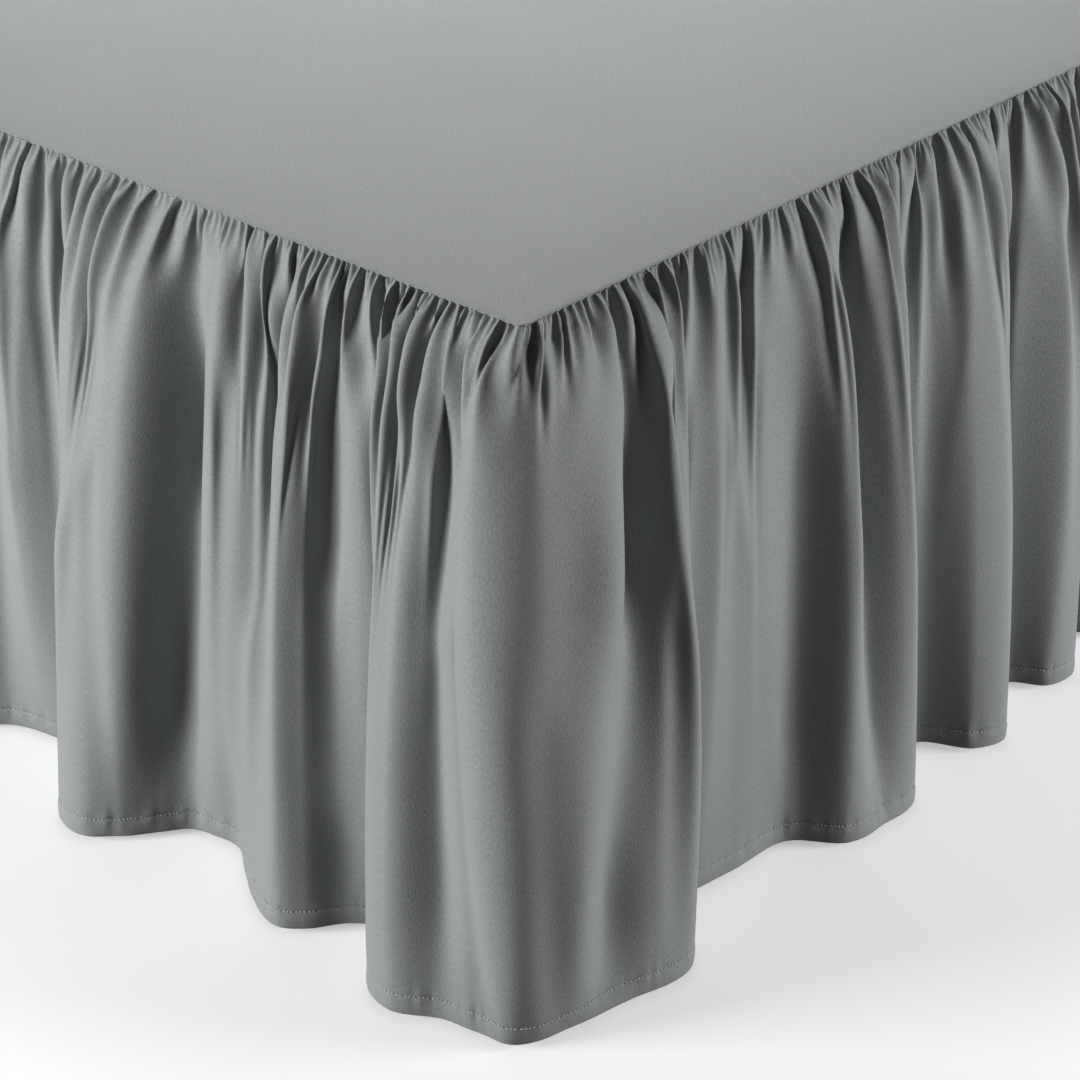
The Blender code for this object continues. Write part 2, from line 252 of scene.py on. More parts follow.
# %% Folds at the corners
CORNER_FOLD_REACH = 0.075
CORNER_FOLD = (
    # along from the corner, mid out, hem out, in mm
    (-75, 14, 20),
    (-45, 43, 62),
    (-15, 36, 55),
    (0, 48, 66),
    (15, 37, 56),
    (45, 45, 64),
)
SHOWN_FOLDS = (
    # seam, mid x, mid y, hem x, hem y, in mm from the corner
    (-449, -455, -16, -458, -24),
    (-425, -430, -36, -432, -58),
    (-394, -392, -22, -397, -32),
    (-355, -364, -27, -362, -21),
    (-338, -346, -14, -342, -19),
    (-315, -324, -22, -318, -42),
    (-292, -303, -43, -302, -71),
    (-272, -282, -44, -272, -76),
    (-247, -262, -36, -258, -63),
    (-231, -241, -18, -243, -43),
    (-215, -224, -14, -231, -29),
    (-199, -204, -24, -216, -25),
    (-180, -186, -19, -199, -24),
    (-161, -167, -28, -177, -38),
    (-146, -153, -24, -157, -51),
    (-132, -131, -42, -126, -58),
    (-121, -121, -34, -116, -50),
    (-109, -110, -18, -101, -30),
    (-97, -95, -19, -90, -22),
    (-85, -82, -16, -79, -19),
    (-76, -72, -28, -67, -38),
    (-69, -64, -43, -58, -61),
    (-56, -49, -45, -36, -68),
    (-40, -26, -34, -8, -54),
    (-28, -10, -41, 12, -51),
    (-19, 5, -47, 30, -49),
    (-4, 30, -37, 40, -35),
    (16, 42, -12, 47, -12),
    (40, 45, 24, 54, 12),
    (62, 33, 52, 58, 32),
    (82, 47, 76, 62, 66),
    (91, 38, 86, 51, 79),
    (100, 18, 97, 28, 91),
    (112, 14, 112, 19, 105),
    (130, 20, 132, 22, 122),
    (152, 17, 153, 26, 148),
    (176, 14, 178, 29, 181),
    (200, 17, 203, 36, 194),
    (218, 39, 226, 60, 213),
    (238, 32, 245, 66, 243),
    (264, 46, 268, 63, 273),
    (278, 32, 283, 41, 287),
    (294, 13, 299, 23, 303),
    (312, 16, 317, 30, 323),
    (334, 38, 343, 60, 341),
    (364, 44, 371, 68, 364),
    (378, 27, 386, 41, 380),
    (392, 13, 398, 24, 397),
    (404, 18, 410, 35, 418),
    (428, 41, 437, 56, 431),
    (448, 43, 455, 61, 452),
    (478, 16, 481, 23, 485),
)
print(len(SHOWN_FOLDS), "lines in the shown folds,", len(CORNER_FOLD), "at the other corner")


# %% The line of the deck's edge
def edge_point(along, out):
    """Plan point `out` from the deck's edge, `along` it from the head end of the left side."""
    inner_x = SIDE_X - DECK_CORNER_RADIUS
    inner_y = FOOT_Y + DECK_CORNER_RADIUS
    reach = DECK_CORNER_RADIUS + out
    if along < SIDE_RUN:
        return (-SIDE_X - out, HEAD_Y - along)
    past = along - SIDE_RUN
    if past < CORNER_ARC:
        turn = past / DECK_CORNER_RADIUS
        return (-inner_x - reach * math.cos(turn), inner_y - reach * math.sin(turn))
    past -= CORNER_ARC
    if past < FOOT_RUN:
        return (-inner_x + past, FOOT_Y - out)
    past -= FOOT_RUN
    if past < CORNER_ARC:
        turn = past / DECK_CORNER_RADIUS
        return (inner_x + reach * math.sin(turn), inner_y - reach * math.cos(turn))
    return (SIDE_X + out, inner_y + past - CORNER_ARC)


# %% Plain folds
def plain_line(along, mid_out, hem_out, lean, dice):
    """One line of a plain stretch. `lean` shifts the hem along the edge."""
    seam = along + dice.uniform(-SEAM_WANDER, SEAM_WANDER)
    mid = edge_point(along + MID_LEAN_SHARE * lean, mid_out)
    return (seam, mid, edge_point(along + lean, hem_out))


def plain_lines(start, end, dice):
    """Uneven folds between two places on the edge, three or four lines for each fold."""
    count = round((end - start) / FOLD_PITCH)
    widths = [dice.uniform(*FOLD_WIDTHS) for _ in range(count)]
    scale = (end - start) / sum(widths)
    rows = []
    place = start
    for width in widths:
        pitch = width * scale
        trough = TROUGH_OUT * dice.uniform(*TROUGH_OUTS)
        crest = CREST_OUT * dice.uniform(*CREST_OUTS)
        lean = dice.uniform(-FOLD_LEAN, FOLD_LEAN)
        rise = place + pitch * dice.uniform(*CREST_BEGINS)
        fall = place + pitch * dice.uniform(*CREST_ENDS)
        rows.append(plain_line(place, trough * MID_TROUGH_SHARE, trough, 0.0, dice))
        rows.append(plain_line(rise, crest * MID_CREST_SHARE, crest, lean, dice))
        if pitch > FOLD_PITCH:
            dip = crest * dice.uniform(*DIP_OUTS)
            rows.append(plain_line((rise + fall) / 2, dip, crest * DIP_HEM_SHARE, lean, dice))
        fall_out = crest * dice.uniform(*FALL_OUTS)
        rows.append(plain_line(fall, crest * MID_CREST_SHARE, fall_out, lean, dice))
        place += pitch
    return rows


def end_line(along):
    """The line where the ruffle ends at the open head of the bed."""
    return (along, edge_point(along, END_MID_OUT), edge_point(along, END_OUT))


# %% The fold lines all round the bed
def all_lines():
    """Every fold line, from the left side's head end round to the right side's."""
    dice = random.Random(FOLD_SEED)
    shown = []
    for seam, mid_x, mid_y, hem_x, hem_y in SHOWN_FOLDS:
        mid = (SIDE_X + mid_x * MM, FOOT_Y + mid_y * MM)
        hem = (SIDE_X + hem_x * MM, FOOT_Y + hem_y * MM)
        shown.append((RIGHT_CORNER + seam * MM, mid, hem))
    rows = plain_lines(0.0, LEFT_CORNER - CORNER_FOLD_REACH, dice)
    for along, mid_out, hem_out in CORNER_FOLD:
        rows.append(plain_line(LEFT_CORNER + along * MM, mid_out * MM, hem_out * MM, 0.0, dice))
    rows += plain_lines(LEFT_CORNER + CORNER_FOLD_REACH, shown[0][0], dice)
    rows += shown
    rows += plain_lines(shown[-1][0], EDGE_LENGTH, dice)[1:]
    return [end_line(0.0)] + rows[1:] + [end_line(EDGE_LENGTH)]


lines = all_lines()
seam_knots = np.array([line[0] for line in lines])
mid_knots = np.array([line[1] for line in lines])
hem_knots = np.array([line[2] for line in lines])
steps = np.linalg.norm(np.diff(hem_knots, axis=0), axis=1)
steps = np.maximum(steps, np.diff(seam_knots))
knots = np.concatenate([[0.0], np.cumsum(steps)])
print(len(lines), "fold lines,", round(knots[-1], 3), "m along the hem")


# %% [markdown]
# Between the lines the cloth has to bend smoothly. A cubic through the neighbouring lines does
# that across the cloth, and a curve through seam, middle and hem does it down the cloth. It
# falls away from the seam quickly and then hangs, which is what the exponent BILLOW gives.

# %% The main folds as a surface
def smooth_curve(values, places):
    """Cubic curve through the values at the knots, with slopes from each knot's neighbours."""
    slopes = np.gradient(values, knots, axis=0)
    index = np.clip(np.searchsorted(knots, places, side="right") - 1, 0, len(knots) - 2)
    span = (knots[index + 1] - knots[index])[:, None]
    t = ((places - knots[index]) / (knots[index + 1] - knots[index]))[:, None]
    start = values[index] * (1 + 2 * t) * (1 - t) ** 2
    climb = slopes[index] * span * t * (1 - t) ** 2
    end = values[index + 1] * t * t * (3 - 2 * t)
    land = slopes[index + 1] * span * t * t * (t - 1)
    return start + climb + end + land


def main_folds(top, mid, hem, depth):
    """Plan points at one depth, from those at the seam, the middle and the hem."""
    fallen = max(depth - SEAM_BAND, 0.0) / (DROP - SEAM_BAND)
    billow = fallen ** BILLOW
    middle = (MID_DEPTH / DROP) ** BILLOW
    top_share = (billow - middle) * (billow - 1) / middle
    mid_share = billow * (billow - 1) / (middle * (middle - 1))
    hem_share = billow * (billow - middle) / (1 - middle)
    return top_share * top + mid_share * mid + hem_share * hem


# %% [markdown]
# Gathering packs more cloth into the seam than the edge is long, so it buckles into tiny ridges
# right under the stitches. A ridge can't stay that narrow: going down, neighbours lean together
# and merge in small Vs, and the pockets between them end in a point. That is a tree, so it is
# made as one: many ridges at the seam, and at each next depth the closest two join. Ridges that
# show in the photo as long bright lines are kept to their own depth, and others join them. No
# two join across the trough between two main folds, so the dark of a trough runs up to the seam.

# %% The ridges and pockets that the photo shows
LONG_RIDGES = (
    # along the seam from the corner, depth it lasts, in mm
    (-360, 380),
    (-304, 260),
    (-256, 100),
    (-204, 250),
    (-164, 380),
    (-137, 380),
    (-104, 58),
    (-76, 380),
    (-38, 380),
    (-13, 75),
    (10, 45),
    (45, 60),
    (74, 380),
    (105, 380),
    (131, 100),
    (148, 210),
    (170, 380),
    (213, 380),
    (223, 250),
    (258, 45),
    (264, 380),
    (283, 300),
    (302, 55),
    (316, 260),
    (330, 60),
    (344, 380),
    (355, 65),
    (374, 380),
    (388, 40),
    (401, 380),
    (418, 50),
    (441, 150),
    (465, 380),
)
DARK_POCKETS = (
    # along the seam from the corner, depth down to which no ridges join across it, in mm
    (-332, 300),
    (-282, 200),
    (-225, 380),
    (-184, 120),
    (-161, 380),
    (-121, 380),
    (-91, 48),
    (-68, 380),
    (-25, 120),
    (27, 40),
    (63, 65),
    (97, 380),
    (118, 60),
    (158, 160),
    (221, 380),
    (234, 200),
    (246, 45),
    (262, 300),
    (270, 55),
    (308, 70),
    (332, 380),
    (346, 35),
    (364, 120),
    (399, 300),
    (430, 110),
    (476, 380),
)
print(len(LONG_RIDGES), "ridges and", len(DARK_POCKETS), "pockets placed by hand")

# %% How close ridges are, and what they don't cross
RIDGE_PITCH = 0.0042
PITCH_GROWTH = 0.45
PITCH_POWER = 0.88
TROUGH_LIMIT = 0.036


def ridge_spacing(depth):
    """How far apart ridges are at a depth: they merge quickly at first and then slowly."""
    return RIDGE_PITCH + PITCH_GROWTH * MM * (depth / MM) ** PITCH_POWER


def merging_depth(spacing):
    """The depth at which ridges are that far apart."""
    return MM * (max(spacing - RIDGE_PITCH, 0.0) / (PITCH_GROWTH * MM)) ** (1 / PITCH_POWER)


def trough_places():
    """Places along the seam that ridges don't join across, and the depth each reaches."""
    outs = []
    for seam, mid, hem in lines:
        outs.append(math.hypot(max(abs(hem[0]) - SIDE_X, 0.0), max(FOOT_Y - hem[1], 0.0)))
    found = []
    for index in range(1, len(outs) - 1):
        nearest = outs[index] <= min(outs[index - 1], outs[index + 1])
        if nearest and outs[index] < TROUGH_LIMIT:
            found.append((lines[index][0], DROP))
    for along, reach in DARK_POCKETS:
        found.append((RIGHT_CORNER + along * MM, reach * MM))
    return found


# %% The tree of ridges under the seam
RIDGE_WIDTHS = (0.5, 1.5)
GAP_LUCK = (0.55, 1.7)
MEETING_SHARE = (0.3, 0.7)
JOIN_EARLY = (0.85, 1.0)
JOIN_LOWEST = 0.0015
LEANING_POWER = 1.2
TREE_SEED = 303


def closest_pair(alive, depth, troughs, dice):
    """The two neighbouring ridges that join next, or None."""
    best = None
    for index in range(len(alive) - 1):
        left, right = alive[index], alive[index + 1]
        if min(left[2], right[2]) > depth:
            continue
        if any(left[1] < place < right[1] and depth < reach for place, reach in troughs):
            continue
        gap = (right[1] - left[1]) * dice.uniform(*GAP_LUCK)
        if best is None or gap < best[0]:
            best = (gap, index)
    return best


def ridge_tree(seed):
    """Straight stretches of ridge, as rows of from depth, place, to depth and place there."""
    dice = random.Random(seed)
    troughs = trough_places()
    count = round(EDGE_LENGTH / RIDGE_PITCH)
    widths = [dice.uniform(*RIDGE_WIDTHS) for _ in range(count)]
    places = np.cumsum(widths) * EDGE_LENGTH / sum(widths)
    alive = [[0.0, float(place), 0.0] for place in places[:-1]]
    for along, reach in LONG_RIDGES:
        place = RIGHT_CORNER + along * MM
        nearest = min(alive, key=lambda ridge: abs(ridge[1] - place))
        nearest[1:] = [place, reach * MM]
    alive.sort(key=lambda ridge: ridge[1])
    done = []
    depth = 0.0
    while depth < DROP:
        depth = max(depth, merging_depth(EDGE_LENGTH / len(alive)))
        best = closest_pair(alive, depth, troughs, dice)
        if best is None:
            break
        left, right = alive[best[1]], alive[best[1] + 1]
        if (left[2] > depth) == (right[2] > depth):
            meet = left[1] + (right[1] - left[1]) * dice.uniform(*MEETING_SHARE)
        else:
            meet = left[1] if left[2] > depth else right[1]
        join = depth * dice.uniform(*JOIN_EARLY) + JOIN_LOWEST
        for ridge in (left, right):
            done.append((ridge[0], ridge[1], max(join, ridge[0] + MM), meet))
        alive[best[1]:best[1] + 2] = [[join, meet, max(left[2], right[2])]]
    for ridge in alive:
        done.append((ridge[0], ridge[1], 2 * DROP, ridge[1]))
    return np.array(done)


def ridges_at(tree, depth):
    """Sorted ridge places at a depth, with the two ends of the ruffle."""
    begun, place, ended, meet = tree.T
    here = (begun <= depth) & (depth < ended)
    share = (depth - begun[here]) / (ended[here] - begun[here])
    found = place[here] + (meet[here] - place[here]) * share ** LEANING_POWER
    return np.concatenate([[0.0], np.sort(found), [EDGE_LENGTH]])


tree = ridge_tree(TREE_SEED)
print([len(ridges_at(tree, depth)) for depth in (0.0, 0.02, 0.1, DROP)], "ridges on the way down")

# %% [markdown]
# The cloth is a grid of threads: columns run down it and rows along it. The columns are evenly
# spaced on the cloth, not on the bed, so a fold that bulges far gets more of them. How much
# cloth there is follows from the hem, which hangs in open folds: its own length is the width
# that the ruffle was cut to. At the seam the same cloth has to fit on a shorter line, and a
# sewer spreads the gathers evenly, so the fullness there is a mean over 70 mm to both sides.

# %% Measuring and blurring lines
def blur(values, width):
    """Gaussian blur along the cloth, in columns."""
    reach = int(3 * width) + 1
    offsets = np.arange(-reach, reach + 1)
    kernel = np.exp(-0.5 * (offsets / width) ** 2)
    padded = np.pad(values, reach, mode="edge")
    return np.convolve(padded, kernel / kernel.sum(), mode="valid")


def lengths(points):
    """Distances between neighbouring points of a line."""
    return np.linalg.norm(np.diff(points, axis=0), axis=1)


# %% Columns and rows of the cloth
SPARE_CLOTH = 1.012
STEP_BLUR = 24
EVEN_OVER = 0.070
FINE_COLUMN = 0.00102
PLAIN_COLUMN = 0.0021
SHOWN_REACH = (-0.39, 0.49)
SAMPLE = 0.0005
ROW_COUNT = 52
EVEN_ROWS = 0.22


def cloth_columns():
    """For each column: its place on the hem's knots, along the cloth and along the seam."""
    sample = np.append(np.arange(0.0, knots[-1], SAMPLE), knots[-1])
    seam_step = np.diff(np.interp(sample, knots, seam_knots))
    cloth_step = blur(lengths(smooth_curve(hem_knots, sample)), STEP_BLUR) * SPARE_CLOTH
    fullness = blur(cloth_step, EVEN_OVER / SAMPLE) / blur(seam_step, EVEN_OVER / SAMPLE)
    cloth_along = np.concatenate([[0.0], np.cumsum(cloth_step)])
    seam = np.concatenate([[0.0], np.cumsum(cloth_step / fullness)])
    seam *= EDGE_LENGTH / seam[-1]
    least, most = float(fullness.min()), float(fullness.max())
    print("gathered", round(least, 2), "to", round(most, 2), "times")
    columns = [0.0]
    while columns[-1] < cloth_along[-1]:
        along = float(np.interp(columns[-1], cloth_along, seam)) - RIGHT_CORNER
        shown = SHOWN_REACH[0] < along < SHOWN_REACH[1]
        columns.append(columns[-1] + (FINE_COLUMN if shown else PLAIN_COLUMN))
    columns[-1] = float(cloth_along[-1])
    on_hem = np.interp(columns, cloth_along, sample)
    on_seam = np.interp(columns, cloth_along, seam)
    return on_hem, np.array(columns), on_seam


places, columns, seam_along = cloth_columns()
share_down = np.arange(ROW_COUNT) / (ROW_COUNT - 1)
depths = DROP * (EVEN_ROWS * share_down + (1 - EVEN_ROWS) * share_down ** 2.0)
print(len(columns), "columns, cloth", round(columns[-1], 3), "m for a seam of", round(EDGE_LENGTH, 3))

# %% [markdown]
# Between two ridges the cloth sags into a pocket. A curve that is flat in its middle and steep
# at its ends gives it a wide floor and a sharp rim, so ridges come out thin and pockets wide, as
# on real gathers, and each leans a little to one side. Its depth is not a guess: the curve over a
# cell's width has to be as long as the cloth that is packed in there. That makes gathers deep at
# the seam and lets them fade where the folds take up all the cloth.

# %% How deep the gathers are
POCKET_POWER = 2.6
ARC_FACTOR = (2 * POCKET_POWER - 1) / (2 * POCKET_POWER ** 2)
POCKET_SKEW = 0.40
SKEW_PITCH = 0.011
SKEW_SEED = 21
FULLEST = 1.6
SAG_TO_SPACING = 0.8
NEAR_BLUR = 8
RISE_BLUR = (6, 20)
LIFT_BLUR = (0.25, 4.0)
RIDGE_SHARES = (
    # depth, share of a pocket's sag that stands out of the main fold, share of sag kept
    (0, 0.45, 1.20),
    (3, 0.95, 1.35),
    (10, 0.95, 1.30),
    (30, 0.75, 1.20),
    (80, 0.55, 0.95),
    (150, 0.50, 0.45),
    (230, 0.50, 0.20),
    (380, 0.50, 0.10),
)
table = np.array(RIDGE_SHARES)


def pocket_lift(depth, plan, cloth_step, seam_step, skew):
    """How far ridges and pockets stand out of the main folds in each column, at one depth."""
    fold_step = np.maximum(blur(lengths(plan), NEAR_BLUR), 1e-6)
    fullness = np.clip(cloth_step / fold_step, 1.0, FULLEST)
    rims = ridges_at(tree, depth)
    index = np.clip(np.searchsorted(rims, seam_along) - 1, 0, len(rims) - 2)
    width = np.maximum(rims[index + 1] - rims[index], 1e-5)
    across = 2 * (seam_along - rims[index]) / width - 1
    chord = width * np.append(fold_step / seam_step, 1.0)
    sag = chord * np.sqrt(ARC_FACTOR * (np.append(fullness, 1.0) - 1))
    sag = np.minimum(sag, SAG_TO_SPACING * ridge_spacing(depth) + MM)
    sag *= np.interp(depth / MM, table[:, 0], table[:, 2])
    out_share = np.interp(depth / MM, table[:, 0], table[:, 1])
    rise = out_share * blur(sag, RISE_BLUR[0] + RISE_BLUR[1] * depth / DROP)
    across = across + skew * (1 - across ** 2)
    lift = rise - sag * (1 - np.abs(across) ** POCKET_POWER)
    return blur(lift, LIFT_BLUR[0] + LIFT_BLUR[1] * depth / DROP)


# %% A slow wave
def slow_wave(along, pitch, seed):
    """A smooth random wave from -1 to 1."""
    dice = np.random.default_rng(seed)
    marks = np.arange(along[0] - 2 * pitch, along[-1] + 3 * pitch, pitch)
    values = dice.uniform(-1, 1, len(marks))
    index = np.clip(((along - marks[0]) / pitch).astype(int), 0, len(marks) - 2)
    t = (along - marks[index]) / pitch
    t = t * t * (3 - 2 * t)
    return values[index] * (1 - t) + values[index + 1] * t


# %% [markdown]
# A main fold is not one clean wave. In the photo each has soft dents and swellings of its own,
# two or three fingers wide and up to 14 mm deep, that run down and a little sideways. They decide
# where a fold is light or dark. Noise would put them anywhere, so they are listed one by one, each
# as a line on the cloth with a width and a height.

# %% The soft dents in the shown folds
DENT_FADE = 0.45
DENTS_BELOW = 0.035
SOFT_DENTS = (
    # along the cloth from the corner and depth where it starts, the same where it ends,
    # half width, how far it stands out (minus is a valley), in mm
    (-366, 70, -364, 270, 13, 12),
    (-342, 35, -338, 140, 7, -8),
    (-336, 120, -346, 290, 9, -10),
    (-319, 60, -314, 240, 9, 3),
    (-299, 70, -299, 270, 10, 12),
    (-268, 80, -270, 190, 10, -8),
    (-188, 190, -184, 290, 10, 6),
    (-57, 110, -46, 296, 11, -6),
    (-12, 40, 1, 190, 8, 4),
    (3, 190, 5, 330, 10, 5),
    (17, 210, 17, 330, 8, -2),
    (31, 210, 30, 330, 9, 4),
    (80, 20, 52, 116, 7, 4),
    (52, 116, 40, 300, 8, 5),
    (93, 20, 82, 130, 8, -8),
    (76, 130, 60, 310, 10, -14),
    (55, 200, 50, 330, 8, -6),
    (84, 200, 82, 330, 12, 4),
    (-16, 120, -15, 330, 8, -5),
    (272, 150, 268, 300, 9, -4),
    (326, 60, 328, 300, 10, -10),
)


def soft_dents(depth):
    """How far the soft dents push each column out at one depth."""
    push = np.zeros(len(columns))
    corner = np.interp(RIGHT_CORNER, seam_along, columns)
    for from_along, from_depth, to_along, to_depth, half_width, amount in SOFT_DENTS:
        share = (depth / MM - from_depth) / (to_depth - from_depth)
        fade = min(max(min(share + DENT_FADE, 1 + DENT_FADE - share) / DENT_FADE, 0.0), 1.0)
        centre = corner + (from_along + (to_along - from_along) * min(max(share, 0.0), 1.0)) * MM
        across = (columns - centre) / (half_width * MM)
        push += amount * MM * fade * fade * (3 - 2 * fade) * np.exp(-0.5 * across ** 2)
    return push * min(depth / DENTS_BELOW, 1.0) ** 2


# %% Draw the folds and gathers
DENT_FACING = 40


def drawn_folds():
    """All points of the cloth as drawn, and the same without ridges, row by row."""
    top = np.array([edge_point(along, SEAM_OUT) for along in seam_along])
    mid = smooth_curve(mid_knots, places)
    hem = smooth_curve(hem_knots, places)
    cloth_step = blur(np.diff(columns), NEAR_BLUR)
    seam_step = np.maximum(blur(np.diff(seam_along), NEAR_BLUR), 1e-6)
    skew = POCKET_SKEW * slow_wave(seam_along, SKEW_PITCH, SKEW_SEED)
    plain = np.zeros((ROW_COUNT, len(columns), 3))
    push = np.zeros((ROW_COUNT, len(columns), 2))
    for row, depth in enumerate(depths):
        plan = main_folds(top, mid, hem, depth)
        run = np.gradient(plan, axis=0)
        run /= np.linalg.norm(run, axis=1)[:, None]
        out = np.column_stack([run[:, 1], -run[:, 0]])
        facing = np.column_stack([blur(out[:, 0], DENT_FACING), blur(out[:, 1], DENT_FACING)])
        plan = plan + facing * soft_dents(depth)[:, None]
        lift = pocket_lift(depth, plan, cloth_step, seam_step, skew)
        height = DECK_TOP - SEAM_LOW - depth * (DROP - SEAM_LOW) / DROP
        plain[row] = np.column_stack([plan, np.full(len(plan), height)])
        push[row] = out * lift[:, None]
    push[1:-1] = 0.25 * push[:-2] + 0.5 * push[1:-1] + 0.25 * push[2:]
    points = plain.copy()
    points[:, :, :2] += push
    return points, plain


drawn, plain = drawn_folds()
lowest = drawn[:, :, 2].min() / MM
print("drawn", drawn.shape[:2], "lowest", round(lowest, 2), "mm above the floor")

# %% [markdown]
# Drawn folds look drawn. Real cloth can't stretch, so the last step is to let this one settle.
# Blender's cloth solver needs minutes for a grid this fine, so a small one of our own does it:
# threads pull back to their own lengths, close threads push apart because cloth resists a tight
# bend, and a little weight draws it all down. Each fold is held loosely to where it was drawn,
# and the seam is sewn fast. Towards the hem the drawn folds already hold the right length of
# cloth, so there the threads keep what was drawn. Every step is one sum over whole arrays, so it
# takes seconds.

# %% Threads that pull and push
def pull_to_length(first, second, rest):
    """Moves both ends of many threads so that each has its own length."""
    gap = second - first
    length = np.sqrt((gap * gap).sum(axis=2)) + 1e-9
    move = gap * (0.5 * (length - rest) / length)[:, :, None]
    first += move
    second -= move


def push_apart(points, hop, share):
    """Resists bending: points some columns apart are pushed towards their flat distance."""
    flat = (columns[hop:] - columns[:-hop]).astype(np.float32)
    gap = points[:, hop:] - points[:, :-hop]
    length = np.sqrt((gap * gap).sum(axis=2)) + 1e-9
    move = gap * (0.25 * share * np.minimum((length - flat) / length, 0))[:, :, None]
    points[:, :-hop] += move
    points[:, hop:] -= move


# %% Smoothing along the cloth
def smooth_kinks(points, share):
    """Takes out kinks that are only one column wide."""
    kink = points[:, 2:] + points[:, :-2] - 2 * points[:, 1:-1]
    points[:, 1:-1] += 0.5 * share * kink
    points[:, 2:] -= 0.25 * share * kink
    points[:, :-2] -= 0.25 * share * kink


def running_mean(values, reach):
    """Mean over some columns to both sides."""
    left = np.repeat(values[:, :1], reach + 1, axis=1)
    right = np.repeat(values[:, -1:], reach, axis=1)
    total = np.cumsum(np.concatenate([left, values, right], axis=1), axis=1, dtype=np.float64)
    mean = (total[:, 2 * reach + 1:] - total[:, :-2 * reach - 1]) / (2 * reach + 1)
    return mean.astype(values.dtype)


# %% The block under the deck
BASE_GAP = 0.002


def stay_outside_base(points):
    """Pushes points out of the block under the deck, to its nearest face."""
    low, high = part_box("bed_base")
    reach_x = high.x + BASE_GAP
    front = low.y - BASE_GAP
    past_x = reach_x - np.abs(points[:, :, 0])
    past_y = points[:, :, 1] - front
    inside = (past_x > 0) & (past_y > 0)
    by_side = inside & (past_x < past_y)
    points[:, :, 0] = np.where(by_side, np.sign(points[:, :, 0]) * reach_x, points[:, :, 0])
    points[:, :, 1] = np.where(inside & ~by_side, front, points[:, :, 1])


# %% How strongly each row is held
HOLD_HEM = 0.15
HEM_HELD_FROM = 0.05
FULLY_HELD_FROM = 0.15
GATHERS_END = 0.045
GATHERS_EXTRA = 0.14
KINKS_TAKEN = 0.30
KINKS_AT_SEAM = 0.08
KINKS_FULL_FROM = 0.16
hem_near = np.clip((depths - HEM_HELD_FROM) / (FULLY_HELD_FROM - HEM_HELD_FROM), 0, 1)[:, None]
seam_near = np.clip(1 - depths / GATHERS_END, 0, 1)[:, None]
row_depth = depths.astype(np.float32)[:, None, None]
kink_share = np.minimum(row_depth / KINKS_FULL_FROM, 1)
kink_share = KINKS_TAKEN * (KINKS_AT_SEAM + (1 - KINKS_AT_SEAM) * kink_share)
hem_share = (HOLD_HEM * hem_near[:, :, None] ** 2).astype(np.float32)
print("the hem is held at up to", round(float(hem_share.max()), 2), "a step")


# %% Let the cloth settle
SETTLING_STEPS = 60
GLIDE = np.float32(0.93)
WEIGHT = np.float32(4e-6)
STIFFNESS = ((2, 0.06), (4, 0.03))
SMOOTH_DOWN = 0.07
HOLD_FOLDS = np.float32(0.10)
HOLD_REACH = 14


def thread_lengths(drawn, plain):
    """The rest lengths of the threads along the cloth and of those down it."""
    drawn_across = np.linalg.norm(np.diff(drawn, axis=1), axis=2)
    across = np.diff(columns) * (1 - hem_near) + drawn_across * hem_near
    across = (across * (1 + GATHERS_EXTRA * seam_near)).astype(np.float32)
    down = np.linalg.norm(np.diff(plain, axis=0), axis=2).astype(np.float32)
    return across, down


def settle(drawn, plain, steps):
    """The drawn cloth after it has settled for some steps."""
    start = drawn.astype(np.float32)
    points = start.copy()
    before = start.copy()
    across, down = thread_lengths(drawn, plain)
    flat_only = np.array([1, 1, 0], dtype=np.float32)
    row_count, column_count = points.shape[:2]
    for step in range(steps):
        glide = (points - before) * GLIDE
        before = points.copy()
        points += glide
        points[1:, :, 2] -= WEIGHT
        for hop, share in STIFFNESS:
            push_apart(points, hop, share)
        smooth_kinks(points, kink_share)
        for repeat in range(2):
            for odd in (0, 1):
                last = odd + 2 * ((column_count - odd) // 2)
                rest = across[:, odd:last - 1:2]
                pull_to_length(points[:, odd:last:2], points[:, odd + 1:last:2], rest)
            for odd in (0, 1):
                last = odd + 2 * ((row_count - odd) // 2)
                pull_to_length(points[odd:last:2], points[odd + 1:last:2], down[odd:last - 1:2])
        bend = points[2:] + points[:-2] - 2 * points[1:-1]
        points[1:-1] += SMOOTH_DOWN * bend * flat_only
        if step % 2 == 0:
            points[1:] -= HOLD_FOLDS * running_mean(points - start, HOLD_REACH)[1:]
        points -= hem_share * (points - start)
        points[0] = start[0]
        stay_outside_base(points)
    return points.astype(float)


settled = settle(drawn, plain, SETTLING_STEPS)
moved = np.linalg.norm(settled - drawn, axis=2) / MM
print("settling moved it", round(moved.mean(), 2), "mm on average,", round(moved.max(), 1), "at most")

# %% [markdown]
# The hem is the cloth's own edge, turned up on the inside and stitched down, 12.7 mm deep. The
# rows of the table below follow it: down the outside with a dent at the stitches, round the
# edge, and up again behind. The stitches pull the cloth into small puckers on both sides of them.

# %% Turn the hem
STITCH_UP = 0.0112
PUCKER = 0.00050
PUCKER_PITCH = 0.0065
FINE_PUCKER_PITCH = 0.0031
PUCKER_SEEDS = (11, 12)
PUCKER_REACH = 5.0
OUTSIDE_TO = 0.5
HEM_ROWS = (
    # up from the hem's edge, behind the outer face, in mm
    (18.0, 0.0),
    (14.4, 0.0),
    (12.6, 0.05),
    (11.8, 0.28),
    (11.2, 0.52),
    (10.6, 0.26),
    (9.4, -0.24),
    (6.0, -0.40),
    (2.4, -0.22),
    (0.7, 0.02),
    (0.05, 0.32),
    (0.10, 0.62),
    (0.8, 0.88),
    (4.0, 0.95),
    (12.7, 0.85),
)


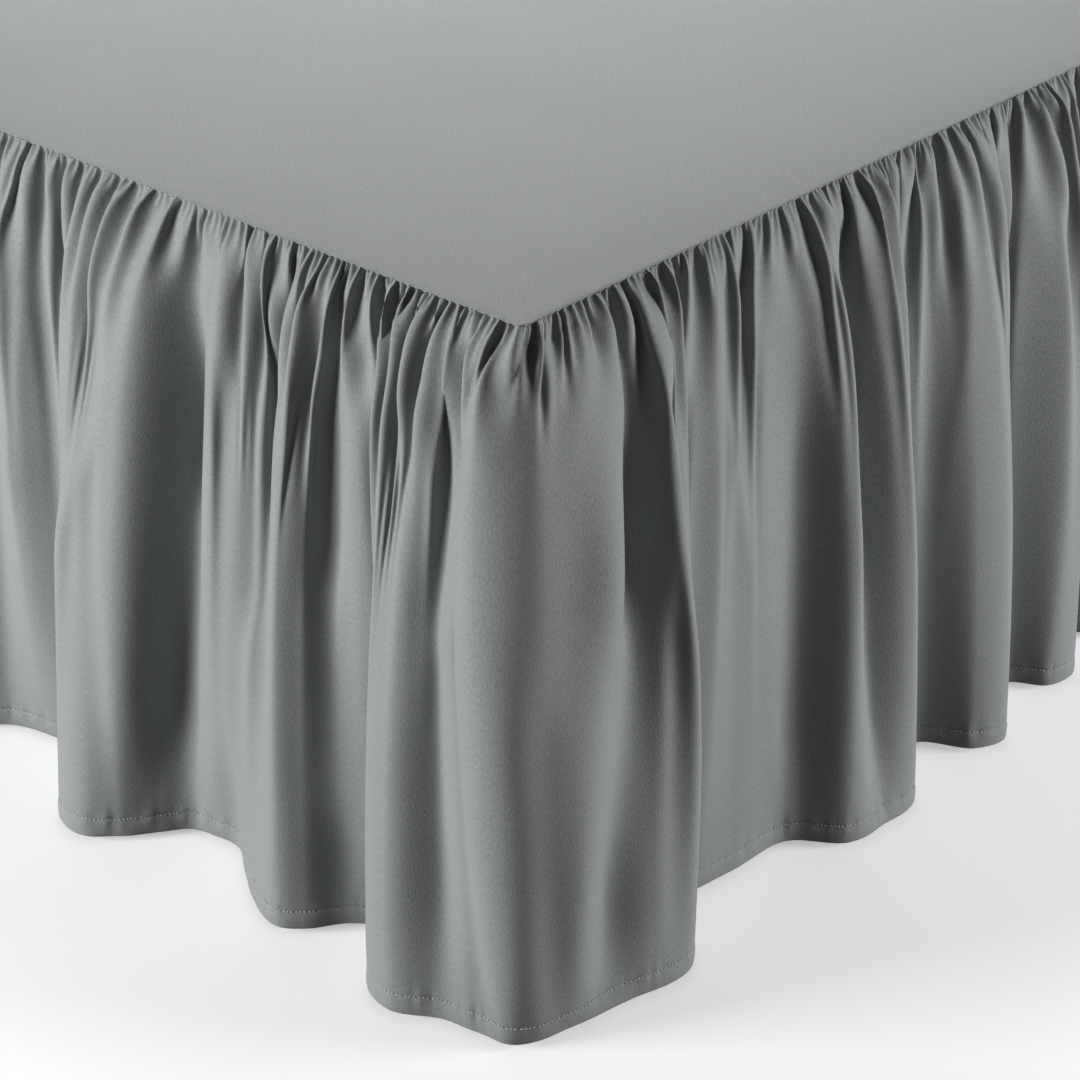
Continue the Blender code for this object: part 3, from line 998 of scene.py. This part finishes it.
def cloth_at(depth):
    """The settled cloth at any depth, and which way it faces there."""
    row = int(np.clip(np.searchsorted(depths, depth) - 1, 0, ROW_COUNT - 2))
    t = (depth - depths[row]) / (depths[row + 1] - depths[row])
    line = settled[row] * (1 - t) + settled[row + 1] * t
    run = np.gradient(line, axis=0)
    up = settled[row] - settled[row + 1]
    face = np.cross(run, up)
    return line, face / np.linalg.norm(face, axis=1)[:, None]


def hemmed_rows():
    """Rows of points from the seam to the end of the turned-up hem, and the cloth's way down."""
    first_hem = DROP - HEM_ROWS[0][0] * MM
    rows = [settled[row] for row in range(ROW_COUNT) if depths[row] < first_hem - MM]
    ways = [depth for depth in depths if depth < first_hem - MM]
    pucker = slow_wave(columns, PUCKER_PITCH, PUCKER_SEEDS[0])
    pucker += 0.5 * slow_wave(columns, FINE_PUCKER_PITCH, PUCKER_SEEDS[1])
    way = first_hem
    previous = None
    for up, back in HEM_ROWS:
        line, face = cloth_at(DROP - up * MM)
        near = math.exp(-((up - STITCH_UP / MM) / PUCKER_REACH) ** 2) if back < OUTSIDE_TO else 0.0
        offset = PUCKER * near * pucker - back * MM
        rows.append(line + face * offset[:, None])
        if previous is not None:
            way += math.hypot(up - previous[0], back - previous[1]) * MM
        ways.append(way)
        previous = (up, back)
    return np.array(rows), np.array(ways)


hemmed, ways_down = hemmed_rows()
print("hemmed cloth", hemmed.shape[:2], "points, a thread down it", round(ways_down[-1], 4), "m long")

# %% [markdown]
# The ruffle is four widths of fabric joined end to end, so it is cut into four strips. Each is a
# grid from Blender's own grid maker, whose points are then moved onto the hemmed cloth. Its UV is
# the place on the flat cloth in metres, which is what the weave in the material reads.

# %% Cut the strips
def make_strip(name, first, last):
    """A strip of the ruffle between two columns."""
    row_count = len(hemmed)
    column_count = last - first + 1
    grid = bmesh.new()
    bmesh.ops.create_grid(grid, x_segments=column_count - 1, y_segments=row_count - 1, size=0.5)
    mesh = bpy.data.meshes.new(name)
    grid.to_mesh(mesh)
    grid.free()
    flat = np.empty(3 * len(mesh.vertices), dtype=np.float32)
    mesh.vertices.foreach_get("co", flat)
    flat = flat.reshape(-1, 3)
    column = first + np.rint((flat[:, 0] + 0.5) * (column_count - 1)).astype(int)
    row = np.rint((0.5 - flat[:, 1]) * (row_count - 1)).astype(int)
    mesh.vertices.foreach_set("co", hemmed[row, column].astype(np.float32).ravel())
    corner_vertex = np.empty(len(mesh.loops), dtype=np.int32)
    mesh.loops.foreach_get("vertex_index", corner_vertex)
    cloth_place = np.column_stack([columns[column], ways_down[row]])[corner_vertex]
    mesh.uv_layers.new(name="cloth").data.foreach_set("uv", cloth_place.astype(np.float32).ravel())
    mesh.shade_smooth()
    mesh.update()
    mesh.materials.append(cloth)
    piece = bpy.data.objects.new(name, mesh)
    bpy.context.scene.collection.objects.link(piece)
    return piece


STRIP_NODES = ("ruffle_left", "ruffle_left_corner", "ruffle_right_corner", "ruffle_right")
cuts = [0]
for join in range(1, len(STRIP_NODES)):
    cuts.append(int(np.searchsorted(seam_along, join * STRIP_LENGTH)))
cuts.append(len(columns) - 1)
strips = {}
for node, first, last in zip(STRIP_NODES, cuts, cuts[1:]):
    strips[node] = (make_strip(node + "_cloth", first, last), first, last)
    triangles = 2 * len(strips[node][0].data.polygons)
    print(node, triangles, "triangles, cut", round(columns[last] - columns[first], 3), "m wide")

# %% [markdown]
# One row of machine stitches holds the hem, 11 mm above its edge, with a stitch every 2.4 mm.
# Each is a thin rounded bead of thread that lies in the dent it pulls. There are hundreds on a
# strip, so each has only 20 faces, and all of one strip's are a single mesh.

# %% The hem's stitches
STITCH_PITCH = 0.0024
STITCH_SIZE = Vector((0.00092, 0.00033, 0.00034))
STITCH_STANDS = 0.00022
THREAD_DARK = (0.34, 0.35, 0.35)
THREAD_LIGHT = (0.54, 0.55, 0.55)


def make_stitches(name, first, last, material):
    """A row of thread beads along the dent in the hem."""
    dent = int(np.argmin(np.abs(ways_down - (DROP - STITCH_UP))))
    line = hemmed[dent, first:last + 1]
    below = hemmed[dent + 1, first:last + 1]
    along = np.concatenate([[0.0], np.cumsum(lengths(line))])
    beads = bmesh.new()
    for place in np.arange(STITCH_PITCH, along[-1] - STITCH_PITCH, STITCH_PITCH):
        index = int(np.searchsorted(along, place))
        run = Vector(line[index] - line[index - 1]).normalized()
        up = Vector(line[index] - below[index]).normalized()
        out = run.cross(up).normalized()
        turn = Matrix((run, up, out)).transposed().to_4x4()
        centre = Matrix.Translation(Vector(line[index]) + out * STITCH_STANDS)
        size = Matrix.Diagonal((*STITCH_SIZE, 1.0))
        bmesh.ops.create_icosphere(beads, subdivisions=1, radius=1.0, matrix=centre @ turn @ size)
    mesh = bpy.data.meshes.new(name)
    beads.to_mesh(mesh)
    beads.free()
    mesh.shade_smooth()
    mesh.materials.append(material)
    piece = bpy.data.objects.new(name, mesh)
    bpy.context.scene.collection.objects.link(piece)
    return piece


def make_thread():
    """Polyester thread, a little lighter than the cloth and with more shine."""
    material, nodes, links, shader = new_material("thread", 0.45, Specular_IOR_Level=0.5)
    place = nodes.new("ShaderNodeTexCoord").outputs["Object"]
    tone = noise(nodes, links, place, 420.0, 1.0)
    colour = ramp(nodes, links, tone, THREAD_DARK, THREAD_LIGHT)
    links.new(colour, shader.inputs["Base Color"])
    return material


thread = make_thread()
stitches = {}
for node, (piece, first, last) in strips.items():
    stitches[node] = make_stitches(node + "_stitches", first, last, thread)
    print(stitches[node].name, len(stitches[node].data.polygons), "faces")

# %% [markdown]
# The deck is a flat panel of the same cloth. Where the ruffle is sewn on, its edge rises a tenth
# of a millimetre and then rolls down into the seam, and each pocket of the gathers pulls it in a
# little. So the panel is a grid whose outer lines follow a short profile. It could be one large
# even grid, but the lines are close only along the shown edges, where the lip can be seen. At the
# corners two sets of lines meet: the inner ones stay square and the outer ones go round.

# %% The deck's edge and where its grid lines run
EDGE_PROFILE = (
    # in from the edge, rise above the deck, in mm
    (12.0, 0.00),
    (8.0, 0.00),
    (5.5, 0.00),
    (3.5, 0.01),
    (2.4, 0.04),
    (1.5, 0.09),
    (0.9, 0.11),
    (0.45, 0.06),
    (0.18, -0.07),
    (0.08, -0.30),
    (0.25, -0.65),
    (0.9, -1.40),
)
ROLL = EDGE_PROFILE[0][0] * MM
DECK_CELL = 0.012
FINE_DECK_CELL = 0.0025


def deck_stations(low, high, fine_low, fine_high):
    """Positions across the deck: (edge line number or None, side, position)."""
    count = len(EDGE_PROFILE)
    stations = [(line, -1, low) for line in range(count - 1, 0, -1)]
    place = low + ROLL
    while place < high - ROLL:
        stations.append((0, 0, place))
        place += FINE_DECK_CELL if fine_low < place < fine_high else DECK_CELL
    stations.append((0, 0, high - ROLL))
    stations += [(line, 1, high) for line in range(1, count)]
    return stations


# %% How the pockets pull the lip
LIP_DEPTH = 0.0015


def pocket_dents(places):
    """1 in the middle of each pocket under the seam and 0 on each ridge."""
    rims = ridges_at(tree, LIP_DEPTH)
    index = np.clip(np.searchsorted(rims, places) - 1, 0, len(rims) - 2)
    across = 2 * (places - rims[index]) / np.maximum(rims[index + 1] - rims[index], 1e-5) - 1
    return 1 - across ** 2


# %% The deck's grid points
CORNER_LINE = 3
CORNER_RADIUS = EDGE_PROFILE[CORNER_LINE][0] * MM
LIP_DENT = 0.0004
LIP_LINES = 4
CROWN = 0.0034
CROWN_REACH = 0.040
SWAY = 0.00025


def lip_pull(line_x, line_y, side_y, dent_x, dent_y):
    """How far the pockets pull a point of the lip in, along x and along y."""
    pull = LIP_DENT * min(max(max(line_x, line_y) - CORNER_LINE, 0) / LIP_LINES, 1.0)
    if line_x and not line_y:
        return pull * dent_y, 0.0
    if line_y and not line_x and side_y < 0:
        return 0.0, pull * dent_x
    return 0.0, 0.0


def edge_insets(line_x, line_y):
    """How far a point lies in from the two edges, on the straight lines or round the corner."""
    past_x = max(line_x - CORNER_LINE, 0)
    past_y = max(line_y - CORNER_LINE, 0)
    if not (past_x and past_y):
        return EDGE_PROFILE[line_x][0] * MM, EDGE_PROFILE[line_y][0] * MM
    reach = CORNER_RADIUS - EDGE_PROFILE[max(line_x, line_y)][0] * MM
    turn = math.pi / 4 * min(past_x, past_y) / max(past_x, past_y)
    far = CORNER_RADIUS - reach * math.cos(turn)
    near = CORNER_RADIUS - reach * math.sin(turn)
    return (far, near) if line_x >= line_y else (near, far)


def deck_point(column, row, dent_x, dent_y):
    """The place of one grid point of the deck, from its column's and its row's station."""
    line_x, side_x, x = column
    line_y, side_y, y = row
    line = max(line_x, line_y)
    pull_x, pull_y = lip_pull(line_x, line_y, side_y, dent_x, dent_y)
    inset_x, inset_y = edge_insets(line_x, line_y)
    x -= side_x * (inset_x + pull_x)
    y -= side_y * (inset_y + pull_y)
    inward = max(min(deck_high.x - abs(x), y - deck_low.y, deck_high.y - y), 0.0)
    crown = CROWN * (1 - math.exp(-inward / CROWN_REACH))
    sway = 0.0 if line else SWAY * math.sin(7.1 * x + 2.0) * math.sin(5.3 * y + 0.7)
    rise = EDGE_PROFILE[line][1] * MM
    return Vector((x, y, DECK_TOP + rise + crown - (pull_x + pull_y) + sway))


# %% The deck
def make_deck():
    """The flat panel with its rolled edge."""
    columns = deck_stations(deck_low.x, deck_high.x, SIDE_X + SHOWN_REACH[0], SIDE_X)
    rows = deck_stations(deck_low.y, deck_high.y, FOOT_Y, FOOT_Y + SHOWN_REACH[1])
    dent_x = pocket_dents(RIGHT_CORNER - SIDE_X + np.array([station[2] for station in columns]))
    dent_y = pocket_dents(RIGHT_CORNER - FOOT_Y + np.array([station[2] for station in rows]))
    grid = bmesh.new()
    uv_layer = grid.loops.layers.uv.new("cloth")
    bmesh.ops.create_grid(grid, x_segments=len(columns) - 1, y_segments=len(rows) - 1, size=0.5)
    for vertex in grid.verts:
        column = round((vertex.co.x + 0.5) * (len(columns) - 1))
        row = round((vertex.co.y + 0.5) * (len(rows) - 1))
        vertex.co = deck_point(columns[column], rows[row], dent_x[column], dent_y[row])
    for face in grid.faces:
        face.smooth = True
        for loop in face.loops:
            loop[uv_layer].uv = (loop.vert.co.x, loop.vert.co.y)
    mesh = bpy.data.meshes.new("deck_cloth")
    grid.to_mesh(mesh)
    grid.free()
    mesh.materials.append(cloth)
    piece = bpy.data.objects.new("deck_cloth", mesh)
    bpy.context.scene.collection.objects.link(piece)
    return piece


deck = make_deck()
print(deck.name, len(deck.data.polygons), "faces")

# %% [markdown]
# The bed base and its legs only show from the open head end and from below. They are plain: a
# box covered in pale upholstery cloth, and six turned legs of oiled wood. Their solids already
# have the right shapes, so the base keeps its solid, and the legs are turned again with a soft
# foot so that they shade as round wood.

# %% Base cloth
BASE_DARK = (0.50, 0.48, 0.44)
BASE_LIGHT = (0.70, 0.68, 0.63)
SLUB_SCALE = 260.0
SLUB_STRETCH = 0.25


def make_base_cloth():
    """Coarse pale upholstery weave, on object coordinates."""
    material, nodes, links, shader = new_material("base_cloth", 0.9, Sheen_Weight=0.2)
    place = nodes.new("ShaderNodeTexCoord").outputs["Object"]
    slub = noise(nodes, links, place, SLUB_SCALE, 3.0, (1.0, 1.0, SLUB_STRETCH))
    cross = noise(nodes, links, place, SLUB_SCALE, 3.0, (SLUB_STRETCH, SLUB_STRETCH, 1.0))
    both = nodes.new("ShaderNodeMath")
    both.operation = "MULTIPLY"
    links.new(slub, both.inputs[0])
    links.new(cross, both.inputs[1])
    value = both.outputs["Value"]
    colour = ramp(nodes, links, value, BASE_DARK, BASE_LIGHT, 0.12, 0.42)
    links.new(colour, shader.inputs["Base Color"])
    links.new(bump(nodes, links, value, 0.6, 0.0006), shader.inputs["Normal"])
    return material


# %% Leg wood
WOOD_DARK = (0.20, 0.105, 0.05)
WOOD_LIGHT = (0.44, 0.27, 0.145)
WOOD_GRAIN = 90.0
GRAIN_LENGTH = 0.06


def make_wood():
    """Straight-grained oiled wood, its grain running up the leg."""
    material, nodes, links, shader = new_material("leg_wood", 0.42, Coat_Weight=0.15)
    place = nodes.new("ShaderNodeTexCoord").outputs["Object"]
    grain = noise(nodes, links, place, WOOD_GRAIN, 6.0, (1.0, 1.0, GRAIN_LENGTH))
    links.new(ramp(nodes, links, grain, WOOD_DARK, WOOD_LIGHT), shader.inputs["Base Color"])
    links.new(bump(nodes, links, grain, 0.25, 0.0004), shader.inputs["Normal"])
    return material


base_cloth = make_base_cloth()
wood = make_wood()
base = bpy.data.objects["bed_base"]
for material_slot in base.material_slots:
    material_slot.material = base_cloth
print("base keeps its solid, legs to follow")

# %% Turn the legs
LEG_FOOT_ROUND = 0.004
LEG_TAPER = 19 / 26
LEG_TOP_EASE = 0.0008
FOOT_STEPS = 4
LEG_STEPS = 48
LEG_SHARP = math.radians(35)


def leg_profile(top_radius, low_z, high_z):
    """Radius and height along a leg's side, from the middle of its foot to that of its top."""
    foot_radius = top_radius * LEG_TAPER
    profile = [(0.0, low_z), (foot_radius - LEG_FOOT_ROUND, low_z)]
    for step in range(1, FOOT_STEPS + 1):
        turn = math.pi / 2 * step / FOOT_STEPS
        radius = foot_radius - LEG_FOOT_ROUND * (1 - math.sin(turn))
        profile.append((radius, low_z + LEG_FOOT_ROUND * (1 - math.cos(turn))))
    profile.append((top_radius - LEG_TOP_EASE, high_z - LEG_TOP_EASE))
    profile.append((top_radius - 2 * LEG_TOP_EASE, high_z))
    profile.append((0.0, high_z))
    return profile


def make_leg(node):
    """A leg spun from its profile, in the place of its solid."""
    low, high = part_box(node)
    centre = (low + high) / 2
    profile = leg_profile((high.x - low.x) / 2, low.z, high.z)
    lathe = bmesh.new()
    verts = [lathe.verts.new((radius, 0.0, height)) for radius, height in profile]
    edges = [lathe.edges.new(pair) for pair in zip(verts, verts[1:])]
    bmesh.ops.spin(
        lathe, geom=verts + edges, cent=(0, 0, 0), axis=(0, 0, 1), angle=2 * math.pi,
        steps=LEG_STEPS, use_merge=True,
    )
    bmesh.ops.remove_doubles(lathe, verts=lathe.verts, dist=1e-6)
    bmesh.ops.recalc_face_normals(lathe, faces=lathe.faces)
    bmesh.ops.translate(lathe, verts=lathe.verts, vec=(centre.x, centre.y, 0.0))
    mesh = bpy.data.meshes.new(node + "_turned")
    lathe.to_mesh(mesh)
    lathe.free()
    mesh.shade_smooth()
    mesh.set_sharp_from_angle(angle=LEG_SHARP)
    mesh.materials.append(wood)
    piece = bpy.data.objects.new(node + "_turned", mesh)
    bpy.context.scene.collection.objects.link(piece)
    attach(piece, "root")
    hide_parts(node)
    return piece


legs = [make_leg(node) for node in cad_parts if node.startswith("leg_")]
print(len(legs), "legs turned")

# %% [markdown]
# The light in the picture comes from both sides: cloth that faces left is brightest, cloth that
# faces right is a step darker, and cloth that faces the camera is darkest of all. So there are
# two tall soft boxes beside the corner, one over the deck, and nothing from the front. A fourth
# one behind the head end only matters when the bed is turned round.

# %% The light
def area_light(name, place, aim, size, power):
    """A soft box at a place, aimed at a point."""
    data = bpy.data.lights.new(name, "AREA")
    data.shape = "RECTANGLE"
    data.size, data.size_y = size
    data.energy = power
    light = bpy.data.objects.new(name, data)
    light.location = place
    light.rotation_euler = (Vector(aim) - Vector(place)).to_track_quat("-Z", "Y").to_euler()
    bpy.context.scene.collection.objects.link(light)
    return light


corner = Vector((SIDE_X, FOOT_Y, 0.0))
to_right = Vector((math.cos(CAMERA_TURN), math.sin(CAMERA_TURN), 0.0))
away = Vector((-math.sin(CAMERA_TURN), math.cos(CAMERA_TURN), 0.0))
up = Vector((0.0, 0.0, 1.0))
ruffle_corner = corner + 0.2 * up
near_deck = corner + 0.3 * away + DECK_TOP * up
over_head = Vector((0.0, HEAD_Y, DECK_TOP))
SOFT_BOXES = (
    # name, place, what it is aimed at, width and height, watts
    ("left_box", corner - 2.0 * to_right - 0.45 * away + 0.45 * up, ruffle_corner, (0.8, 0.9), 62),
    ("right_box", corner + 2.05 * to_right - 0.10 * away + 0.45 * up, ruffle_corner, (0.8, 0.9), 43),
    ("back_box", corner + 1.6 * away - 0.25 * to_right + 1.5 * up, near_deck, (1.0, 1.0), 39),
    ("head_box", over_head + Vector((-1.5, 1.5, 0.7)), over_head, (1.6, 1.2), 30),
)
for name, place, target, size, power in SOFT_BOXES:
    area_light(name, place, target, size, power)
print(len(SOFT_BOXES), "soft boxes")

# %% [markdown]
# The photo's cloth has deep darks although it stands on a bright floor, because a studio floor
# is brightened in the picture and not in the room. So this one glows a little by itself and is
# hidden from the light that bounces off things, or it would fill the folds from below.

# %% The floor
FLOOR_HALF = 9.0
FLOOR_TONE = (0.84, 0.84, 0.84, 1.0)
FLOOR_GLOW = 0.42
floor_maker = bmesh.new()
bmesh.ops.create_grid(floor_maker, x_segments=2, y_segments=2, size=FLOOR_HALF)
floor_mesh = bpy.data.meshes.new("floor")
floor_maker.to_mesh(floor_mesh)
floor_maker.free()
floor_material, _, _, floor_shader = new_material("floor", 0.9)
floor_shader.inputs["Base Color"].default_value = FLOOR_TONE
floor_shader.inputs["Emission Color"].default_value = (1.0, 1.0, 1.0, 1.0)
floor_shader.inputs["Emission Strength"].default_value = FLOOR_GLOW
floor_mesh.materials.append(floor_material)
floor = bpy.data.objects.new("floor", floor_mesh)
bpy.context.scene.collection.objects.link(floor)
floor.visible_diffuse = False
print("a pale floor,", 2 * FLOOR_HALF, "m wide")

# %% [markdown]
# Behind the floor's edge the camera sees a pale backdrop, but the room itself gives very little
# light. One world can be both: it asks each ray whether it comes straight from the camera.

# %% The backdrop
ROOM_TONE = (0.9, 0.92, 0.95, 1.0)
ROOM_LIGHT = 0.055
BACKDROP = 0.75
world = bpy.data.worlds.new("studio")
world.use_nodes = True
world_nodes = world.node_tree.nodes
world_links = world.node_tree.links
room = world_nodes["Background"]
room.inputs["Color"].default_value = ROOM_TONE
room.inputs["Strength"].default_value = ROOM_LIGHT
backdrop = world_nodes.new("ShaderNodeBackground")
backdrop.inputs["Strength"].default_value = BACKDROP
seen = world_nodes.new("ShaderNodeLightPath")
either = world_nodes.new("ShaderNodeMixShader")
world_links.new(seen.outputs["Is Camera Ray"], either.inputs["Fac"])
world_links.new(room.outputs[0], either.inputs[1])
world_links.new(backdrop.outputs[0], either.inputs[2])
world_links.new(either.outputs[0], world_nodes["World Output"].inputs["Surface"])
bpy.context.scene.world = world
bpy.context.scene.view_settings.view_transform = "Standard"
print("world", world.name)

# %% [markdown]
# Last, each piece is tied to the frame by what it rides on, and the solid it stands for is hidden.

# %% Tie the pieces to the frame
for node, (piece, first, last) in strips.items():
    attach(piece, "root")
    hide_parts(node)
    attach(stitches[node], "root")
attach(deck, "root")
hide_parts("deck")
